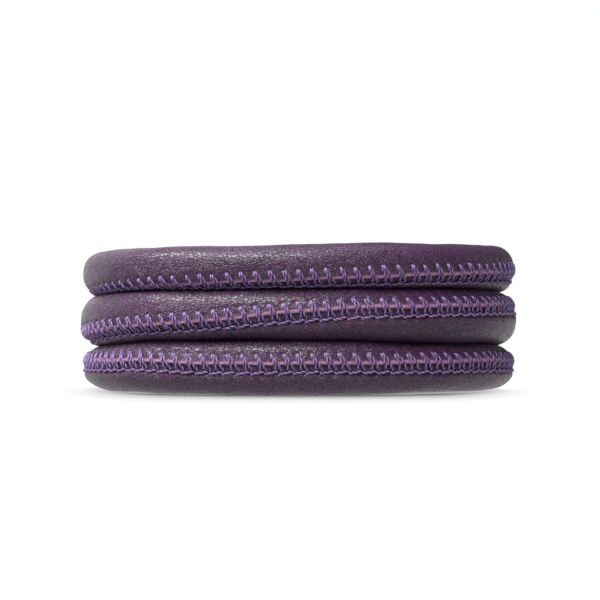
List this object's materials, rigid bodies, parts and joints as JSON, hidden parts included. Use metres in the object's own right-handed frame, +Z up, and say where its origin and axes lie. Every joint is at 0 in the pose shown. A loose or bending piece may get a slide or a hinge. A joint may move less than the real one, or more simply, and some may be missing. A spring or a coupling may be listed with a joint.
{
  "type": "wrap bracelet",
  "caption": "Round stitched leather cord wound in an upright coil for the wrist, its ends joined by a magnetic clasp at the back.",
  "frame": {"origin": "on the coil's axis, at the surface that the bracelet stands on", "axes": "+Z up along the coil's axis, -Y out of the side that is worn outwards, +Y to the clasp at the back, +X to the right seen from the front"},
  "size_m": [0.0622, 0.0727, 0.021],
  "materials": {
    "leather": "aubergine nappa, fine pebble grain, satin",
    "core": "soft undyed cotton cord",
    "thread": "violet polyester sewing thread",
    "steel": "polished stainless steel",
    "magnet": "nickel plated"
  },
  "bodies": {
    "coil": {"leather_cover": "leather", "cord_core": "core", "needle_thread": "thread", "looper_thread": "thread", "clasp_socket": "steel", "socket_magnet": "magnet"},
    "free_end": {"free_end_cover": "leather", "free_end_core": "core", "free_end_needle_thread": "thread", "free_end_looper_thread": "thread", "clasp_plug": "steel", "plug_magnet": "magnet"}
  },
  "joints": [
    {"name": "clasp_pull", "type": "slide", "parent": "coil", "child": "free_end", "axis": [1, 0, 0], "range_m": [0, 0.008]}
  ]
}
